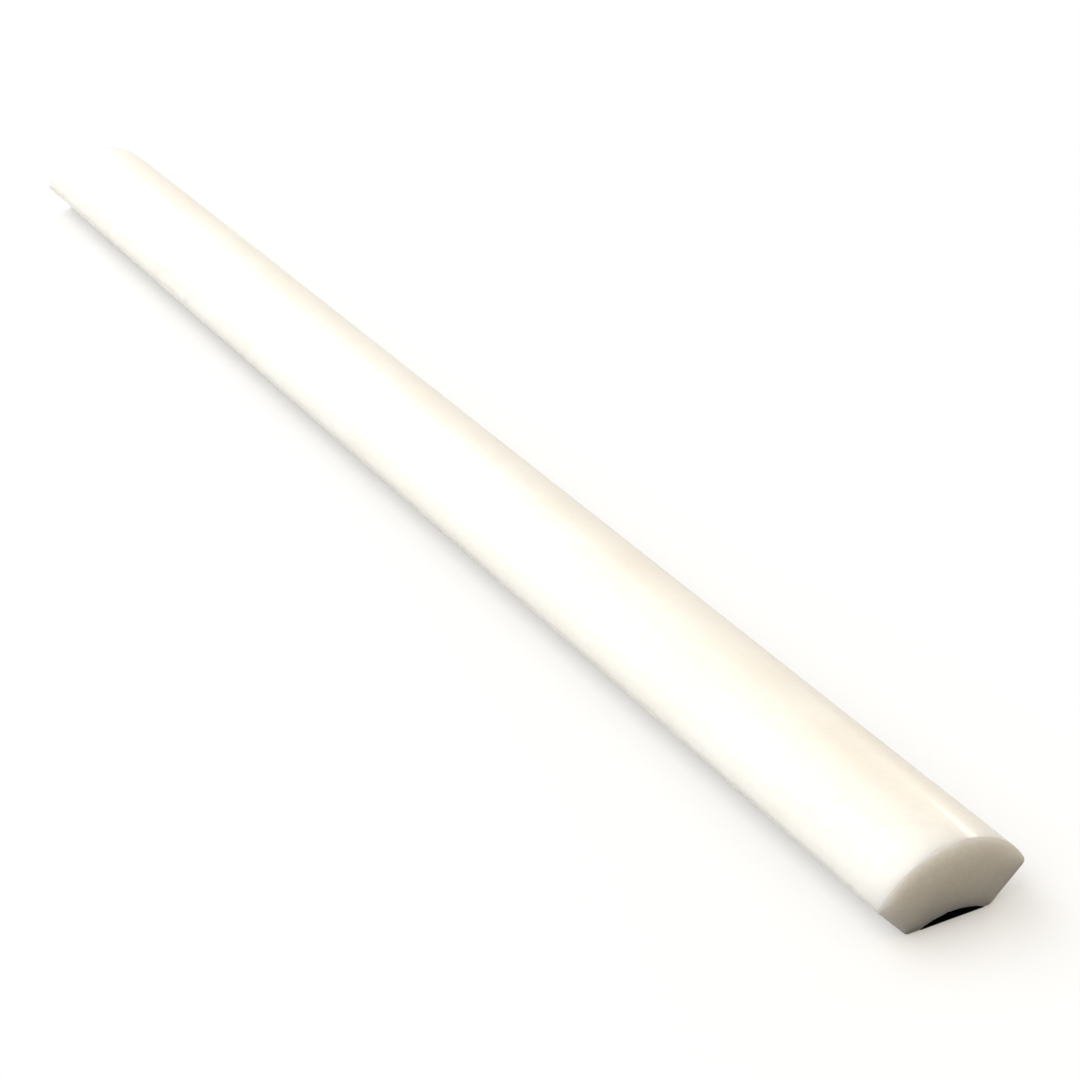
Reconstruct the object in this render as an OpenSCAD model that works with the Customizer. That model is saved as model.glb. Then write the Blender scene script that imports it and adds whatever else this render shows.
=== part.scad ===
// Polished marble liner bar: one solid length of stone with a domed face,
// rounded shoulders, sides undercut towards the back and a shallow hollow
// ground along the back. It lies on its back, with its length along X.

/* [Bar] */
// Length from one sawn end to the other
bar_length = 305; // [150:1:610]
// Width across the two rounded shoulders
bar_width = 24.8; // [23.5:0.1:32]
// Height from the bedding plane to the crown of the dome
bar_height = 12.7; // [11.5:0.1:16]

/* [Shoulders and sides] */
// Height of the shoulders' centre line above the bedding plane
shoulder_height = 5.55; // [4.8:0.05:6.2]
// Radius that rounds each shoulder, where the dome meets a side
shoulder_radius = 0.9; // [0.7:0.05:2]
// Lean of the undercut sides, in degrees from upright
side_lean = 45; // [30:1:48]
// Width of the narrow flat that takes the sharpness off each edge of the back
arris_width = 0.35; // [0.2:0.05:0.6]

/* [Back hollow] */
// Width of the hollow where it meets the bedding plane
hollow_width = 10.8; // [8:0.1:11.4]
// Depth of the hollow along its middle
hollow_depth = 1.15; // [0.8:0.05:2.2]
// Distance of the hollow's middle line from the bar's, towards the right-hand side
hollow_shift = 0.6; // [0:0.1:0.8]

/* [Ends] */
// Width of the small bevel rubbed onto the edge round each sawn end
end_bevel = 0.3; // [0.15:0.05:0.5]

/* [Hidden] */
$fn = 96;

half_length = bar_length / 2;
past = 2 * bar_height;
// Each shoulder's round stands this much proud of the faces it joins, so that
// the surfaces cross cleanly.
proud = 0.01;

// Outward directions of the right-hand side, of its arris and of the back,
// given across and up.
side_out = [cos(side_lean), -sin(side_lean)];
arris_lean = (90 + side_lean) / 2;

// Centre of the right shoulder's circle, and of the large circle of the dome.
// The dome passes the crown and runs smoothly into both shoulders.
shoulder = [bar_width / 2 - shoulder_radius - proud, shoulder_height];
crown_drop = bar_height - shoulder_height;
dome_radius = (shoulder.x ^ 2 + crown_drop ^ 2 - shoulder_radius ^ 2)
    / (2 * (crown_drop - shoulder_radius));
dome_centre = [0, bar_height - dome_radius];
dome_out = (shoulder - dome_centre) / norm(shoulder - dome_centre);

// Where the right-hand side would cut the bedding plane, before its arris,
// and the depth of stone that the arris takes off that corner.
foot_y = shoulder.x - shoulder.y * tan(side_lean) + shoulder_radius / cos(side_lean);
arris_depth = arris_width / 2 * tan((90 - side_lean) / 2);

// The hollow is part of a round bar of this radius.
hollow_radius = ((hollow_width / 2) ^ 2 + hollow_depth ^ 2) / (2 * hollow_depth);

// A bar that spreads outwards from the line between the shoulders' centres.
// The direction is the right-hand edge's, across and up.
module spread_from_shoulders(direction) {
    far = shoulder + past * direction;
    rotate([90, 0, 90])
        linear_extrude(bar_length + past, center = true)
            polygon([shoulder, far, [-far.x, far.y], [-shoulder.x, shoulder.y]]);
}

// Half of a shape's outline at both ends of the bar, bevelled where the ends
// meet its surface. It lies between a depth under the surface and the surface.
function bevelled(depth, surface) = [
    [depth, -half_length],
    [surface - end_bevel, -half_length],
    [surface, end_bevel - half_length],
    [surface, half_length - end_bevel],
    [surface - end_bevel, half_length],
    [depth, half_length]
];

// A rod along X with both ends bevelled.
module rod(radius) {
    rotate([0, 90, 0])
        rotate_extrude()
            polygon(bevelled(0, radius));
}

// A wide slab along X with both ends bevelled. Its face lies a given distance
// out from the corner (foot_y, 0) and leans from upright, outwards and down.
module slab(lean, out = 0) {
    translate([0, foot_y, 0])
        rotate([-lean, 0, 0])
            rotate([180, 0, 90])
                linear_extrude(6 * past, center = true)
                    polygon(bevelled(-past, out));
}

// The domed face, from one shoulder's centre to the other.
module dome() {
    intersection() {
        translate([0, 0, dome_centre.y])
            rod(dome_radius);
        spread_from_shoulders(dome_out);
    }
}

// The right-hand side and its arris.
module right_side() {
    intersection() {
        slab(side_lean);
        slab(arris_lean, -arris_depth);
    }
}

// The stone under the dome, with its flat sides and back.
module flanks() {
    intersection() {
        spread_from_shoulders(side_out);
        slab(90);
        right_side();
        mirror([0, 1, 0])
            right_side();
    }
}

module round_shoulders() {
    for (way = [-1, 1])
        translate([0, way * shoulder.x, shoulder.y])
            rod(shoulder_radius + proud);
}

module hollow() {
    translate([0, hollow_shift, hollow_depth - hollow_radius])
        rotate([0, 90, 0])
            cylinder(r = hollow_radius, h = bar_length + past, center = true);
}

module liner_bar() {
    color("ivory")
        difference() {
            union() {
                dome();
                flanks();
                round_shoulders();
            }
            hollow();
        }
}

liner_bar();
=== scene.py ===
import math

import bmesh
import bpy
from bpy.props import FloatProperty, FloatVectorProperty, IntProperty, PointerProperty
from mathutils import Matrix, Vector


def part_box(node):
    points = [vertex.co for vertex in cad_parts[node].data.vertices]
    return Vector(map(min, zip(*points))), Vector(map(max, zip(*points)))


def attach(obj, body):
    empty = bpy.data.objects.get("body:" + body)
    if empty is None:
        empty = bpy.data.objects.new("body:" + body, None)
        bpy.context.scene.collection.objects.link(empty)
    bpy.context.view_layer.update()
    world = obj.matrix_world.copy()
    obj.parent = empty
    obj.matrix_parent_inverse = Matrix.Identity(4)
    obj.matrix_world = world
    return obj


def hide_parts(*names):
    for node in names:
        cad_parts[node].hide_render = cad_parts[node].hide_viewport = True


bl_info = {
    "name": "Marble liner bar",
    "version": (1, 0, 0),
    "blender": (4, 5, 0),
    "location": "View3D > Sidebar > Liner",
    "description": "Builds a polished marble liner bar in a plain, softly lit studio",
    "category": "Add Mesh",
}

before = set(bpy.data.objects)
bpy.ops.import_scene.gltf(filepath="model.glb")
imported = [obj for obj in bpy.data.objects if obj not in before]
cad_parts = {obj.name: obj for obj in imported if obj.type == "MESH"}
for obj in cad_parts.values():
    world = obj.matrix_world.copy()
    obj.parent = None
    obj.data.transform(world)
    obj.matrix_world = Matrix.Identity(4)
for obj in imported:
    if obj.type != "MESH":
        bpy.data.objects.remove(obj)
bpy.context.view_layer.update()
LOW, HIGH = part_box("liner_bar")
MILLIMETRE = 0.001

# How many mesh steps each stretch of the half section takes, from the crown of the dome round
# to the middle of the hollow.
SECTION_STEPS = {"dome": 76, "shoulder": 14, "side": 38, "arris": 3, "foot": 9, "hollow": 34}
HALF_SECTION = sum(SECTION_STEPS.values())
# How many rings of the mesh lie on a sawn end, on its rubbed edge and on half of the length.
END_RINGS = 9
EDGE_RINGS = 7
LENGTH_RINGS = 60
HALF_RINGS = END_RINGS + EDGE_RINGS + LENGTH_RINGS


class Wire:
    """One output of a node. Python's arithmetic on it adds Math nodes."""

    def __init__(self, graph, socket):
        self.graph = graph
        self.socket = socket

    def __add__(self, other):
        return self.graph.math("ADD", self, other)

    def __radd__(self, other):
        return self.graph.math("ADD", other, self)

    def __sub__(self, other):
        return self.graph.math("SUBTRACT", self, other)

    def __rsub__(self, other):
        return self.graph.math("SUBTRACT", other, self)

    def __mul__(self, other):
        return self.graph.math("MULTIPLY", self, other)

    def __rmul__(self, other):
        return self.graph.math("MULTIPLY", other, self)

    def __truediv__(self, other):
        return self.graph.math("DIVIDE", self, other)

    def __rtruediv__(self, other):
        return self.graph.math("DIVIDE", other, self)

    def __pow__(self, other):
        return self.graph.math("POWER", self, other)

    def __neg__(self):
        return self.graph.math("MULTIPLY", self, -1.0)

    def __gt__(self, other):
        return self.graph.math("GREATER_THAN", self, other)

    def __lt__(self, other):
        return self.graph.math("LESS_THAN", self, other)


class Graph:
    """A node tree that is written as expressions."""

    COLUMNS = 14

    def __init__(self, tree):
        self.tree = tree
        self.tree.nodes.clear()

    def add(self, kind, settings=None, sockets=None, output=0):
        """Adds a node, makes its settings, then fills or links its sockets."""
        node = self.tree.nodes.new(kind)
        count = len(self.tree.nodes) - 1
        node.location = (count % self.COLUMNS * 200, -(count // self.COLUMNS) * 240)
        for name, value in (settings or {}).items():
            if name == "stops":
                self.set_stops(node.color_ramp, value)
            else:
                setattr(node, name, value)
        for key, value in (sockets or {}).items():
            self.feed(node.inputs[key], value)
        return Wire(self, node.outputs[output]) if len(node.outputs) else node

    def feed(self, socket, value):
        for part in value if isinstance(value, list) else [value]:
            if isinstance(part, Wire):
                self.tree.links.new(part.socket, socket)
            else:
                socket.default_value = part

    def set_stops(self, ramp, stops):
        while len(ramp.elements) < len(stops):
            ramp.elements.new(1.0)
        for element, (position, colour) in zip(ramp.elements, stops):
            element.position = position
            element.color = colour

    def math(self, operation, *values, clamp=False):
        settings = {"operation": operation, "use_clamp": clamp}
        return self.add("ShaderNodeMath", settings, dict(enumerate(values)))

    def clamped(self, value):
        """The value held between 0 and 1."""
        return self.math("ADD", value, 0.0, clamp=True)

    def least(self, first, second):
        return self.math("MINIMUM", first, second)

    def most(self, first, second):
        return self.math("MAXIMUM", first, second)

    def ramp(self, value, low, high):
        """0 below low, 1 above high, and a smooth rise between them."""
        settings = {"interpolation_type": "SMOOTHSTEP"}
        sockets = {"Value": value, "From Min": low, "From Max": high}
        return self.add("ShaderNodeMapRange", settings, sockets)

    def vector(self, x, y, z):
        return self.add("ShaderNodeCombineXYZ", {}, {0: x, 1: y, 2: z})

    def parts(self, vector):
        """The three parts of a vector."""
        first = self.add("ShaderNodeSeparateXYZ", {}, {0: vector})
        return [Wire(self, socket) for socket in first.socket.node.outputs]

    def stretched(self, vector, by):
        return self.add("ShaderNodeVectorMath", {"operation": "MULTIPLY"}, {0: vector, 1: by})

    def moved(self, vector, by):
        return self.add("ShaderNodeVectorMath", {"operation": "ADD"}, {0: vector, 1: by})

    def noise(self, vector, scale, detail=2.0, roughness=0.5, distortion=0.0):
        """Cloudy noise about 0.5."""
        sockets = {
            "Vector": vector,
            "Scale": scale,
            "Detail": detail,
            "Roughness": roughness,
            "Distortion": distortion,
        }
        return self.add("ShaderNodeTexNoise", {"noise_dimensions": "3D"}, sockets)

    def mixed(self, amount, first, second, blend="MIX"):
        """Two colours, mixed."""
        settings = {"data_type": "RGBA", "blend_type": blend, "clamp_factor": True}
        return self.add("ShaderNodeMix", settings, {0: amount, 6: first, 7: second}, output=2)


def new_mesh_object(name, mesh):
    piece = bpy.data.objects.new(name, mesh)
    bpy.context.scene.collection.objects.link(piece)
    return piece


class LinerSizes(bpy.types.PropertyGroup):
    """Sizes of the bar, which lies on its back with its length along X."""

    length: FloatProperty(
        name="Length",
        description="Length from one sawn end to the other",
        default=HIGH[0] - LOW[0],
        unit="LENGTH",
        subtype="DISTANCE",
    )
    width: FloatProperty(
        name="Width",
        description="Width across the two rounded shoulders",
        default=HIGH[1] - LOW[1],
        unit="LENGTH",
        subtype="DISTANCE",
    )
    height: FloatProperty(
        name="Height",
        description="Height from the bedding plane to the crown of the dome",
        default=HIGH[2] - LOW[2],
        unit="LENGTH",
        subtype="DISTANCE",
    )
    shoulder_height: FloatProperty(
        name="Shoulder height",
        description="Height of the shoulders' centre line above the bedding plane",
        default=5.55 * MILLIMETRE,
        unit="LENGTH",
        subtype="DISTANCE",
    )
    shoulder_radius: FloatProperty(
        name="Shoulder radius",
        description="Radius between the dome and each side",
        default=0.9 * MILLIMETRE,
        unit="LENGTH",
        subtype="DISTANCE",
    )
    side_lean: FloatProperty(
        name="Side lean",
        description="Lean of the undercut sides from upright",
        default=math.radians(45),
        unit="ROTATION",
        subtype="ANGLE",
    )
    arris_width: FloatProperty(
        name="Arris width",
        description="Width of the narrow flat on each long edge of the back",
        default=0.35 * MILLIMETRE,
        unit="LENGTH",
        subtype="DISTANCE",
    )
    hollow_width: FloatProperty(
        name="Hollow width",
        description="Width of the hollow where it meets the bedding plane",
        default=10.8 * MILLIMETRE,
        unit="LENGTH",
        subtype="DISTANCE",
    )
    hollow_depth: FloatProperty(
        name="Hollow depth",
        description="Depth of the hollow along its middle",
        default=1.15 * MILLIMETRE,
        unit="LENGTH",
        subtype="DISTANCE",
    )
    hollow_shift: FloatProperty(
        name="Hollow shift",
        description="Distance of the hollow's middle line from the bar's, towards the right",
        default=0.6 * MILLIMETRE,
        unit="LENGTH",
        subtype="DISTANCE",
    )
    edge_radius: FloatProperty(
        name="End edge radius",
        description="Radius rubbed onto the edge round each sawn end",
        default=0.14 * MILLIMETRE,
        unit="LENGTH",
        subtype="DISTANCE",
    )
    edge_chips: FloatProperty(
        name="Edge chips",
        description="How far the small chips bite into the edge round each end",
        default=0.22 * MILLIMETRE,
        unit="LENGTH",
        subtype="DISTANCE",
    )
    polish_ripple: FloatProperty(
        name="Polish ripple",
        description="Depth of the slow waves that polishing leaves in the face",
        default=0.015 * MILLIMETRE,
        unit="LENGTH",
        subtype="DISTANCE",
    )
    seed: IntProperty(
        name="Seed",
        description="Chooses where chips and ripples fall",
        default=7,
        min=0,
    )


class LinerStone(bpy.types.PropertyGroup):
    """Colours and finish of the marble."""

    light_colour: FloatVectorProperty(
        name="Light stone",
        description="The colour of the clear, light parts of the marble",
        default=(0.925, 0.89, 0.825),
        size=3,
        subtype="COLOR",
        min=0.0,
        max=1.0,
    )
    warm_colour: FloatVectorProperty(
        name="Warm cloud",
        description="The colour of the warmer, cloudy parts",
        default=(0.885, 0.835, 0.75),
        size=3,
        subtype="COLOR",
        min=0.0,
        max=1.0,
    )
    vein_colour: FloatVectorProperty(
        name="Vein",
        description="The colour of the faint veins",
        default=(0.76, 0.73, 0.67),
        size=3,
        subtype="COLOR",
        min=0.0,
        max=1.0,
    )
    glow_depth: FloatProperty(
        name="Glow depth",
        description="How far light travels inside the stone",
        default=11.0 * MILLIMETRE,
        unit="LENGTH",
        subtype="DISTANCE",
    )
    polished_roughness: FloatProperty(
        name="Polished roughness",
        description="Roughness of the dome and shoulders",
        default=0.36,
        min=0.0,
        max=1.0,
        subtype="FACTOR",
    )
    sawn_roughness: FloatProperty(
        name="Sawn roughness",
        description="Roughness of the ends, sides and back",
        default=0.58,
        min=0.0,
        max=1.0,
        subtype="FACTOR",
    )


class LinerStudio(bpy.types.PropertyGroup):
    """The floor, the light and the camera round the bar."""

    floor_colour: FloatVectorProperty(
        name="Floor",
        description="The colour of the floor as the camera sees it",
        default=(1.0, 1.0, 1.0),
        size=3,
        subtype="COLOR",
        min=0.0,
        max=1.0,
    )
    bounce_colour: FloatVectorProperty(
        name="Floor bounce",
        description="The colour that the floor throws back onto the bar",
        default=(0.04, 0.037, 0.031),
        size=3,
        subtype="COLOR",
        min=0.0,
        max=1.0,
    )
    high_light: FloatVectorProperty(
        name="High light",
        description="Colour and strength of the wide soft light over the camera's side",
        default=(2.27, 2.22, 2.13),
        size=3,
        subtype="COLOR",
        min=0.0,
        soft_max=4.0,
    )
    side_light: FloatVectorProperty(
        name="Side light",
        description="Colour and strength of the weaker, warmer light over the other side",
        default=(0.45, 0.32, 0.155),
        size=3,
        subtype="COLOR",
        min=0.0,
        soft_max=4.0,
    )
    low_light: FloatVectorProperty(
        name="Low light",
        description="Colour and strength of the light that comes from everywhere",
        default=(0.235, 0.224, 0.203),
        size=3,
        subtype="COLOR",
        min=0.0,
        soft_max=1.0,
    )
    window: FloatProperty(
        name="Window",
        description="Power of the large soft light over the far end",
        default=5.9,
        unit="POWER",
        min=0.0,
    )
    strip: FloatProperty(
        name="Strip",
        description="Power of the low strip of light beyond the right side",
        default=2.5,
        unit="POWER",
        min=0.0,
    )
    # The painted white glow over the floor reaches full strength this far from the bar, which
    # paints the bar's shadow lighter.
    shadow_reach: FloatProperty(
        name="Shadow reach",
        description="How far from the bar its shadow fades into the white floor",
        default=45.0 * MILLIMETRE,
        unit="LENGTH",
        subtype="DISTANCE",
    )
    field_of_view: FloatProperty(
        name="Field of view",
        description="Angle that the camera takes in from side to side",
        default=math.radians(24.784),
        unit="ROTATION",
        subtype="ANGLE",
    )


def section_point(graph, size, step, side, inset):
    """A point on one half of the section, as its distance out from the middle and its height.

    The step runs from the crown of the dome round to the middle of the hollow. The side is 1 on
    the right and -1 on the left. The inset pares the whole outline inwards, with its corners
    mitred.
    """
    sine = graph.math("SINE", size["Side lean"])
    cosine = graph.math("COSINE", size["Side lean"])
    shoulder_y = size["Width"] / 2.0 - size["Shoulder radius"]
    shoulder_z = size["Shoulder height"]
    drop = size["Height"] - shoulder_z
    radius = size["Shoulder radius"]
    dome_radius = (shoulder_y**2.0 + drop**2.0 - radius**2.0) / ((drop - radius) * 2.0)
    dome_z = size["Height"] - dome_radius
    dome_end = graph.math("ARCTAN2", shoulder_z - dome_z, shoulder_y)
    foot = shoulder_y - shoulder_z * sine / cosine + radius / cosine

    # The narrow arris leans halfway between the side and the back.
    arris_lean = (size["Side lean"] + math.pi / 2) / 2.0
    arris_sine = graph.math("SINE", arris_lean)
    arris_cosine = graph.math("COSINE", arris_lean)
    corner_turn = (math.pi / 2 - size["Side lean"]) / 2.0
    arris_depth = size["Arris width"] / 2.0 * graph.math("TANGENT", corner_turn)

    # How far the side and the arris lie from the origin, once pared.
    side_reach = foot * cosine - inset
    arris_reach = foot * arris_cosine - arris_depth - inset
    turn = graph.math("SINE", size["Side lean"] - arris_lean)
    upper_y = (arris_reach * sine - side_reach * arris_sine) / turn
    upper_z = (arris_reach * cosine - side_reach * arris_cosine) / turn
    lower_y = (arris_reach + inset * arris_sine) / arris_cosine

    half_hollow = size["Hollow width"] / 2.0
    depth = size["Hollow depth"]
    hollow_radius = (half_hollow**2.0 + depth**2.0) / (depth * 2.0)
    hollow_z = depth - hollow_radius
    hollow_radius = hollow_radius + inset
    half_chord = graph.math("SQRT", hollow_radius**2.0 - (inset - hollow_z) ** 2.0)
    lip_angle = graph.math("ARCTAN2", half_chord, inset - hollow_z)
    hollow_y = size["Hollow shift"] * side
    lip_y = hollow_y + half_chord

    starts = {}
    along = {}
    done = 0
    for name, steps in SECTION_STEPS.items():
        starts[name] = done
        along[name] = graph.clamped((step - done) / steps)
        done += steps

    def arc(centre_y, centre_z, arc_radius, angle):
        across = graph.math("COSINE", angle) * arc_radius + centre_y
        up = graph.math("SINE", angle) * arc_radius + centre_z
        return graph.vector(across, up, 0.0)

    def line(start_y, start_z, end_y, end_z, share):
        across = start_y + (end_y - start_y) * share
        up = start_z + (end_z - start_z) * share
        return graph.vector(across, up, 0.0)

    side_y = shoulder_y + (radius - inset) * cosine
    side_z = shoulder_z - (radius - inset) * sine
    dome_angle = math.pi / 2 + (dome_end - math.pi / 2) * along["dome"]
    shoulder_angle = dome_end - (dome_end + size["Side lean"]) * along["shoulder"]
    hollow_angle = math.pi / 2 - lip_angle * (1.0 - along["hollow"])
    stretches = {
        "dome": arc(0.0, dome_z, dome_radius - inset, dome_angle),
        "shoulder": arc(shoulder_y, shoulder_z, radius - inset, shoulder_angle),
        "side": line(side_y, side_z, upper_y, upper_z, along["side"]),
        "arris": line(upper_y, upper_z, lower_y, inset, along["arris"]),
        "foot": line(lower_y, inset, lip_y, inset, along["foot"]),
        "hollow": arc(hollow_y, hollow_z, hollow_radius, hollow_angle),
    }
    point = stretches["dome"]
    for name in list(SECTION_STEPS)[1:]:
        past = step > starts[name] + 0.5
        settings = {"input_type": "VECTOR"}
        point = graph.add("GeometryNodeSwitch", settings, {0: past, 1: point, 2: stretches[name]})
    return graph.parts(point)[:2]


def stored(graph, geometry, name, value):
    """The geometry with a number kept on each of its points."""
    settings = {"data_type": "FLOAT", "domain": "POINT"}
    sockets = {"Geometry": geometry, "Name": name, "Value": value}
    return graph.add("GeometryNodeStoreNamedAttribute", settings, sockets)


def bar_tree(sizes, stone):
    """Geometry Nodes that run the section along the bar and close both sawn ends."""
    tree = bpy.data.node_groups.new("liner bar", "GeometryNodeTree")
    tree.is_modifier = True
    graph = Graph(tree)
    face = tree.interface
    for name in sizes:
        face.new_socket(name=name, in_out="INPUT", socket_type="NodeSocketFloat")
    face.new_socket(name="Geometry", in_out="OUTPUT", socket_type="NodeSocketGeometry")
    entry = tree.nodes.new("NodeGroupInput")
    size = {name: Wire(graph, entry.outputs[name]) for name in sizes}

    columns = 2 * HALF_SECTION
    rows = 2 * HALF_RINGS
    grid_sockets = {
        "Size X": float(columns),
        "Size Y": float(rows),
        "Vertices X": columns + 1,
        "Vertices Y": rows + 1,
    }
    grid = graph.add("GeometryNodeMeshGrid", {}, grid_sockets)
    place = graph.add("GeometryNodeInputPosition")
    column, row, _ = graph.parts(place)
    column = graph.math("ROUND", column)
    row = graph.math("ROUND", row)
    step = graph.math("ABSOLUTE", column)
    right = (column > -0.5) * 2.0 - 1.0
    far = (row > 0.0) * 2.0 - 1.0
    from_end = HALF_RINGS - graph.math("ABSOLUTE", row)

    # A rubbed edge wanders a little and is chipped here and there.
    turn = column * (math.pi / HALF_SECTION)
    round_about = graph.vector(
        graph.math("COSINE", turn) * 4.0,
        graph.math("SINE", turn) * 4.0,
        far * 9.0 + size["Seed"],
    )
    wander = graph.noise(round_about, 0.9, 2.0)
    bite = graph.ramp(graph.noise(round_about, 3.4, 3.0, 0.6), 0.6, 0.78)
    edge = size["End edge radius"] * (0.55 + wander * 0.9) + size["Edge chips"] * bite
    # One nick in the lip of the hollow, a little to the left of the highest point.
    from_nick = graph.math("ABSOLUTE", column + (HALF_SECTION - 5.0))
    nick = (1.0 - graph.ramp(from_nick, 0.3, 2.2)) * (row > 0.0)
    edge = edge + size["Edge chips"] * nick

    deepest = size["Shoulder radius"] * 0.88
    on_end = graph.clamped(from_end / END_RINGS)
    on_edge = graph.clamped((from_end - END_RINGS) / EDGE_RINGS)
    on_length = graph.clamped((from_end - END_RINGS - EDGE_RINGS) / LENGTH_RINGS)
    quarter = on_edge * (math.pi / 2)
    inset = (deepest - edge) * (1.0 - on_end) + edge * (1.0 - graph.math("SINE", quarter))
    from_saw = edge * (1.0 - graph.math("COSINE", quarter))
    from_saw = from_saw + (size["Length"] / 2.0 - edge) * on_length**1.9
    height_along = far * (size["Length"] / 2.0 - from_saw)

    # Slow waves from the grinding and polishing belts, pared from the face only.
    belt = graph.vector(
        graph.math("COSINE", turn) * 1.6 + size["Seed"],
        graph.math("SINE", turn) * 1.6,
        height_along * 22.0,
    )
    ripple = graph.noise(belt, 1.3, 2.0, 0.45)
    inset = inset + size["Polish ripple"] * ripple * on_edge

    across, up = section_point(graph, size, step, right, inset)
    shaped = graph.add(
        "GeometryNodeSetPosition",
        {},
        {"Geometry": grid, "Position": graph.vector(across * right, up, height_along)},
    )
    shaped = graph.add("GeometryNodeFlipFaces", {}, {0: shaped})
    # The polish wears off over the middle of each shoulder.
    shoulder_top = SECTION_STEPS["dome"] + 2.0
    polish = 1.0 - graph.ramp(step, shoulder_top, shoulder_top + SECTION_STEPS["shoulder"] * 0.7)
    shaped = stored(graph, shaped, "polish", polish * on_edge)
    sawn = 1.0 - graph.ramp(on_edge, 0.0, 0.7)
    shaped = stored(graph, shaped, "sawn", sawn)

    # The two sides of the sheet meet along the middle of the hollow.
    merge = {"Distance": 0.002 * MILLIMETRE}
    joined = graph.add("GeometryNodeMergeByDistance", {}, {"Geometry": shaped, **merge})

    # One rim is filled to make a sawn face, and a turned copy of it closes the other end.
    neighbours = graph.add("GeometryNodeInputMeshEdgeNeighbors")
    place = graph.add("GeometryNodeInputPosition")
    top_rim = (neighbours < 1.5) * (graph.parts(place)[2] > 0.0)
    rim = graph.add("GeometryNodeMeshToCurve", {}, {"Mesh": joined, "Selection": top_rim})
    disc = graph.add("GeometryNodeFillCurve", {"mode": "NGONS"}, {"Curve": rim})
    disc = stored(graph, disc, "polish", 0.0)
    disc = stored(graph, disc, "sawn", 1.0)
    half_length = size["Length"] / 2.0
    ends = []
    for way in (1.0, -1.0):
        shift = graph.vector(0.0, 0.0, half_length * way)
        sockets = {"Geometry": disc, "Translation": shift}
        end = graph.add("GeometryNodeTransform", {}, sockets)
        if way < 0:
            end = graph.add("GeometryNodeFlipFaces", {}, {0: end})
        ends.append(end)
    whole = graph.add("GeometryNodeJoinGeometry", {}, {0: [joined, *ends]})
    whole = graph.add("GeometryNodeMergeByDistance", {}, {"Geometry": whole, **merge})

    # The section was drawn in the flat, so it is stood up and its length laid along X.
    turned = {"Geometry": whole, "Rotation": (math.pi / 2, 0.0, math.pi / 2)}
    whole = graph.add("GeometryNodeTransform", {}, turned)
    whole = graph.add("GeometryNodeSetShadeSmooth", {}, {"Geometry": whole})
    whole = graph.add("GeometryNodeRealizeInstances", {}, {"Geometry": whole})
    whole = graph.add("GeometryNodeSetMaterial", {}, {"Geometry": whole, "Material": stone})
    leave = tree.nodes.new("NodeGroupOutput")
    tree.links.new(whole.socket, leave.inputs["Geometry"])
    return tree


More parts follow.
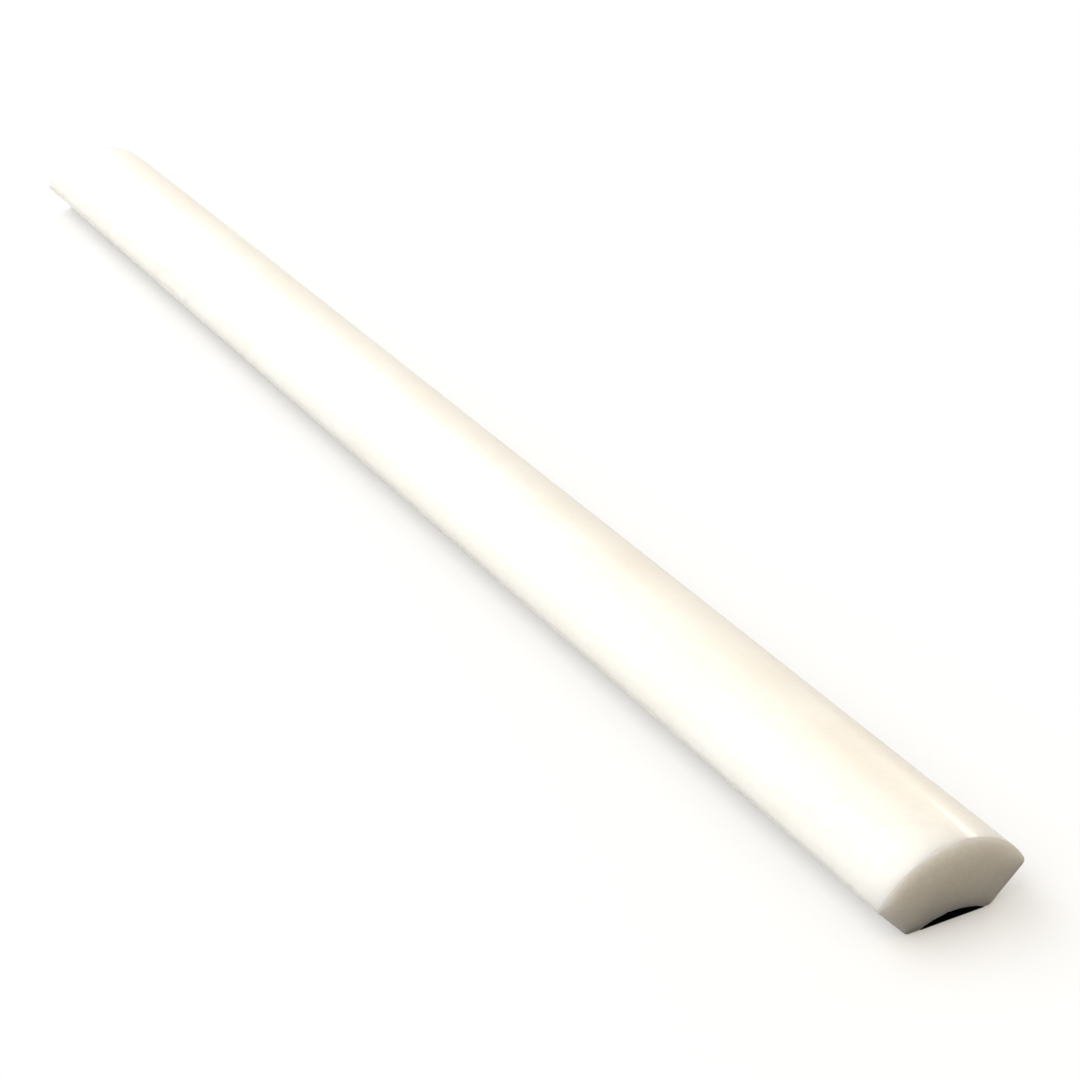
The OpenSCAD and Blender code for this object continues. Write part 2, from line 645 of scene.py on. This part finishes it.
def marble(look):
    """Fine-grained white marble: polished on the face, sawn on the ends and ground elsewhere."""
    material = bpy.data.materials.new("marble")
    material.use_nodes = True
    graph = Graph(material.node_tree)
    place = graph.add("ShaderNodeTexCoord", {}, {}, output="Object")
    in_mm = graph.stretched(place, (1000.0, 1000.0, 1000.0))
    polish = graph.add("ShaderNodeAttribute", {"attribute_name": "polish"}, {}, output="Fac")
    sawn = graph.add("ShaderNodeAttribute", {"attribute_name": "sawn"}, {}, output="Fac")

    # The bedding of the stone runs slantwise through the bar, so clouds and veins do too.
    bedded = graph.add(
        "ShaderNodeMapping", {}, {"Vector": in_mm, "Rotation": (0.35, 0.5, 0.62)}
    )
    cloud = graph.noise(graph.stretched(bedded, (0.5, 1.0, 1.6)), 0.035, 4.0, 0.55, 0.4)
    cloud = graph.ramp(cloud, 0.36, 0.68)
    sway = graph.noise(bedded, 0.05, 3.0, 0.6)
    drift = graph.vector(sway * 9.0, sway * 6.0, sway * 12.0)
    fold = graph.noise(graph.moved(bedded, drift), 0.042, 4.0, 0.6)
    vein = 1.0 - graph.ramp(graph.math("ABSOLUTE", fold - 0.5), 0.0, 0.03)
    patch = graph.ramp(graph.noise(bedded, 0.03, 2.0), 0.45, 0.7)
    vein = vein * patch * 0.3

    # Sugary calcite crystals, each a little lighter or darker than the next.
    crystal = graph.add(
        "ShaderNodeTexVoronoi", {"feature": "F1"}, {"Vector": in_mm, "Scale": 1.7}, output="Color"
    )
    crystal_tone = graph.parts(crystal)[0]
    fine = graph.noise(in_mm, 2.6, 3.0, 0.65)
    rough_cut = 1.0 - polish
    shade = (crystal_tone - 0.5) * (0.025 + rough_cut * 0.06)
    shade = shade + (fine - 0.5) * (0.02 + rough_cut * 0.11)
    level = graph.clamped(0.97 + shade)

    light = (*look.light_colour, 1.0)
    warm = (*look.warm_colour, 1.0)
    colour = graph.mixed(cloud * 0.75, light, warm)
    colour = graph.mixed(vein, colour, (*look.vein_colour, 1.0))
    grey = graph.add("ShaderNodeCombineColor", {}, {0: level, 1: level, 2: level})
    colour = graph.mixed(1.0, colour, grey, blend="MULTIPLY")

    # Saw marks sweep over the ends in wide arcs, and the belt leaves lines along the back.
    x, y, z = graph.parts(in_mm)
    blade = graph.math("SQRT", (y - 70.0) ** 2.0 + (z + 95.0) ** 2.0)
    blade_line = graph.vector(blade * 3.2, y * 0.05, z * 0.05)
    saw_mark = graph.noise(blade_line, 1.0, 2.0, 0.5)
    belt_line = graph.vector(x * 0.04, y * 2.4, z * 2.4)
    belt_mark = graph.noise(belt_line, 1.0, 2.0, 0.5)
    ground = graph.clamped(1.0 - polish - sawn)
    pit = graph.noise(in_mm, 5.5, 2.0, 0.6)
    relief = saw_mark * sawn * 0.5 + belt_mark * ground * 0.7
    relief = relief + pit * rough_cut * 0.5 + fine * polish * 0.02

    cut = look.sawn_roughness
    shine = look.polished_roughness
    roughness = polish * shine + rough_cut * cut + (fine - 0.5) * 0.08
    bump = graph.add(
        "ShaderNodeBump", {}, {"Strength": 0.35, "Distance": 0.00008, "Height": relief}
    )
    surface = graph.add(
        "ShaderNodeBsdfPrincipled",
        {},
        {
            "Base Color": colour,
            "Roughness": graph.clamped(roughness),
            "IOR": 1.52,
            "Normal": bump,
            "Subsurface Weight": 1.0,
            "Subsurface Radius": (1.0, 0.92, 0.84),
            "Subsurface Scale": look.glow_depth,
            "Coat Weight": polish * 0.28,
            "Coat Roughness": 0.06,
            "Coat IOR": 1.5,
        },
    )
    graph.add("ShaderNodeOutputMaterial", {}, {"Surface": surface})
    return material


class LINER_OT_bar(bpy.types.Operator):
    """Builds the polished marble bar"""

    bl_idname = "liner.bar"
    bl_label = "Marble bar"

    def execute(self, context):
        sizes = context.scene.liner_sizes
        inputs = {
            "Length": sizes.length,
            "Width": sizes.width,
            "Height": sizes.height,
            "Shoulder height": sizes.shoulder_height,
            "Shoulder radius": sizes.shoulder_radius,
            "Side lean": sizes.side_lean,
            "Arris width": sizes.arris_width,
            "Hollow width": sizes.hollow_width,
            "Hollow depth": sizes.hollow_depth,
            "Hollow shift": sizes.hollow_shift,
            "End edge radius": sizes.edge_radius,
            "Edge chips": sizes.edge_chips,
            "Polish ripple": sizes.polish_ripple,
            "Seed": float(sizes.seed),
        }
        stone = marble(context.scene.liner_stone)
        tree = bar_tree(inputs, stone)
        draft = new_mesh_object("liner_bar_draft", bpy.data.meshes.new("liner_bar_draft"))
        modifier = draft.modifiers.new("Liner bar", "NODES")
        modifier.node_group = tree
        for item in tree.interface.items_tree:
            if item.in_out == "INPUT":
                modifier[item.identifier] = inputs[item.name]
        context.view_layer.update()
        finished = draft.evaluated_get(context.evaluated_depsgraph_get())
        mesh = bpy.data.meshes.new_from_object(finished)
        draft.modifiers.clear()
        bpy.data.objects.remove(draft)
        mesh.name = "marble_bar"
        check_closed(mesh)
        mesh.set_sharp_from_angle(angle=math.radians(17))
        bar = new_mesh_object("marble_bar", mesh)
        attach(bar, "root")
        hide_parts("liner_bar")
        return {"FINISHED"}


def check_closed(mesh):
    """Stops the script if the bar's mesh has a hole or its faces point inwards."""
    shape = bmesh.new()
    shape.from_mesh(mesh)
    open_edges = sum(1 for edge in shape.edges if len(edge.link_faces) != 2)
    volume = shape.calc_volume(signed=True)
    shape.free()
    if open_edges or volume <= 0:
        raise RuntimeError(f"the bar has {open_edges} open edges and volume {volume}")


def ray_mask(graph):
    """1 for what the camera sees, straight or in a reflection or through glass."""
    path = graph.add("ShaderNodeLightPath").socket.node
    seen = Wire(graph, path.outputs["Is Camera Ray"])
    for name in ("Is Glossy Ray", "Is Transmission Ray"):
        seen = graph.most(seen, Wire(graph, path.outputs[name]))
    return seen


def studio_floor(studio, sizes):
    """A plain pale floor that keeps the bar's shadow, lightened by a painted white glow that
    grows away from the bar, with painted shade under the hollow.
    """
    material = bpy.data.materials.new("studio floor")
    material.use_nodes = True
    graph = Graph(material.node_tree)
    bounce = graph.add("ShaderNodeBsdfDiffuse", {}, {"Color": (*studio.bounce_colour, 1.0)})
    clear = graph.add("ShaderNodeEmission", {}, {"Color": (*studio.floor_colour, 1.0)})
    x, y, _ = graph.parts(graph.add("ShaderNodeTexCoord", {}, {}, output="Object"))
    # Painted light: the floor glows white more strongly the farther it is from the bar, so the
    # bar's shadow is painted lighter and fades out within the reach.
    beyond_x = graph.most(graph.math("ABSOLUTE", x) - sizes.length / 2, 0.0)
    beyond_y = graph.most(graph.math("ABSOLUTE", y) - sizes.width * 0.28, 0.0)
    distance = graph.math("SQRT", beyond_x**2.0 + beyond_y**2.0)
    shadow_lightening_glow = graph.clamped(distance / studio.shadow_reach) ** 0.35 * 0.97
    # The floor under the hollow is painted near black for the camera and for reflections: painted
    # shade that makes the hollow show dark.
    past_lip = graph.math("ABSOLUTE", y - sizes.hollow_shift) - sizes.hollow_width / 2
    outside_painted_hollow_shade = graph.ramp(graph.most(beyond_x, past_lip), 0.0, 0.15 * MILLIMETRE)
    # Painted shade: the floor's colour goes near black under the hollow and stays the floor
    # colour elsewhere.
    floor_with_painted_hollow_shade = graph.mixed(outside_painted_hollow_shade, (0.005, 0.005, 0.005, 1.0), (*studio.floor_colour, 1.0))
    pale = graph.add("ShaderNodeBsdfDiffuse", {}, {"Color": floor_with_painted_hollow_shade})
    seen = graph.add("ShaderNodeMixShader", {}, {0: shadow_lightening_glow, 1: pale, 2: clear})
    surface = graph.add("ShaderNodeMixShader", {}, {0: ray_mask(graph), 1: bounce, 2: seen})
    graph.add("ShaderNodeOutputMaterial", {}, {"Surface": surface})
    shape = bmesh.new()
    bmesh.ops.create_grid(shape, x_segments=8, y_segments=8, size=4.0)
    bmesh.ops.translate(shape, verts=shape.verts, vec=(0.0, 0.0, -0.03 * MILLIMETRE))
    mesh = bpy.data.meshes.new("studio_floor")
    shape.to_mesh(mesh)
    shape.free()
    mesh.materials.append(material)
    return new_mesh_object("studio_floor", mesh)


def studio_sky(studio):
    """Soft light from both sides of the sky, a little from all of it, and white to the eye."""
    world = bpy.data.worlds.new("studio")
    world.use_nodes = True
    graph = Graph(world.node_tree)
    way = graph.add("ShaderNodeTexCoord", {}, {}, output="Generated")
    light = tuple(studio.low_light)
    for towards, colour in (
        ((-0.5, -1.2, 0.8), studio.high_light),
        ((0.4, 1.2, 0.7), studio.side_light),
    ):
        middle = tuple(Vector(towards).normalized())
        settings = {"operation": "DOT_PRODUCT"}
        facing = graph.add("ShaderNodeVectorMath", settings, {0: way, 1: middle}, output=1)
        glow = graph.ramp(facing, 0.55, 0.95)
        glow = graph.stretched(graph.vector(glow, glow, glow), tuple(colour))
        light = graph.moved(glow, light)
    soft = graph.add("ShaderNodeBackground", {}, {"Color": light})
    white = graph.add("ShaderNodeBackground", {}, {"Color": (1.0, 1.0, 1.0, 1.0)})
    surface = graph.add("ShaderNodeMixShader", {}, {0: ray_mask(graph), 1: soft, 2: white})
    graph.add("ShaderNodeOutputWorld", {}, {"Surface": surface})
    bpy.context.scene.world = world


def soft_lamp(name, place, target, size, power, colour, roll=0.0):
    """A rectangular soft light that points at a target, rolled about the line to it."""
    lamp = bpy.data.lights.new(name, "AREA")
    lamp.shape = "RECTANGLE"
    lamp.size, lamp.size_y = size
    lamp.energy = power
    lamp.color = colour
    holder = bpy.data.objects.new(name, lamp)
    bpy.context.scene.collection.objects.link(holder)
    towards = Vector(target) - Vector(place)
    aim = towards.to_track_quat("-Z", "Y").to_matrix().to_4x4()
    holder.matrix_world = Matrix.Translation(place) @ aim @ Matrix.Rotation(roll, 4, "Z")


class LINER_OT_studio(bpy.types.Operator):
    """Sets out the floor, the light and the camera"""

    bl_idname = "liner.studio"
    bl_label = "Studio"

    def execute(self, context):
        studio = context.scene.liner_studio
        studio_floor(studio, context.scene.liner_sizes)
        studio_sky(studio)
        # Three panels of growing size give the window a soft rim.
        for number, spread in enumerate((0.75, 1.0, 1.25)):
            soft_lamp(
                f"window {number + 1}",
                (-0.84, -0.08, 0.6 + 0.01 * number),
                (-0.465, -0.08, -0.33),
                (1.15 * spread, 0.85 * spread),
                studio.window * spread**2 / 3,
                (0.98, 0.99, 1.0),
                roll=math.radians(38),
            )
        soft_lamp(
            "strip",
            (-0.396, 0.98, 0.442),
            (0.147, 0.0, 0.012),
            (0.44, 0.3),
            studio.strip,
            (1.0, 0.93, 0.8),
        )
        camera = bpy.data.cameras.new("camera")
        camera.angle = studio.field_of_view
        camera.clip_start = 0.01
        holder = bpy.data.objects.new("camera", camera)
        context.scene.collection.objects.link(holder)
        # The camera's own right, up and backward directions, and where it stands.
        right = Vector((0.506805, 0.861516, 0.030645))
        up = Vector((-0.420121, 0.215792, 0.881437))
        turn = Matrix((right, up, right.cross(up))).transposed()
        stand = Vector((351.79, -188.03, 198.84)) * MILLIMETRE
        holder.matrix_world = Matrix.Translation(stand) @ turn.to_4x4()
        context.scene.camera = holder
        context.scene.view_settings.view_transform = "Standard"
        return {"FINISHED"}


class LINER_PT_panel(bpy.types.Panel):
    """Lists the bar's sizes and the operators that build the scene"""

    bl_idname = "LINER_PT_panel"
    bl_label = "Marble liner"
    bl_space_type = "VIEW_3D"
    bl_region_type = "UI"
    bl_category = "Liner"

    def draw(self, context):
        layout = self.layout
        scene = context.scene
        for title, group in (
            ("Sizes", scene.liner_sizes),
            ("Stone", scene.liner_stone),
            ("Studio", scene.liner_studio),
        ):
            box = layout.box()
            box.label(text=title)
            for name in group.__annotations__:
                box.prop(group, name)
        layout.operator(LINER_OT_bar.bl_idname)
        layout.operator(LINER_OT_studio.bl_idname)


CLASSES = (LinerSizes, LinerStone, LinerStudio, LINER_OT_bar, LINER_OT_studio, LINER_PT_panel)


def register():
    for cls in CLASSES:
        bpy.utils.register_class(cls)
    bpy.types.Scene.liner_sizes = PointerProperty(type=LinerSizes)
    bpy.types.Scene.liner_stone = PointerProperty(type=LinerStone)
    bpy.types.Scene.liner_studio = PointerProperty(type=LinerStudio)


def unregister():
    del bpy.types.Scene.liner_studio
    del bpy.types.Scene.liner_stone
    del bpy.types.Scene.liner_sizes
    for cls in reversed(CLASSES):
        bpy.utils.unregister_class(cls)


def main():
    register()
    bpy.ops.liner.bar()
    bpy.ops.liner.studio()


if __name__ == "__main__":
    main()
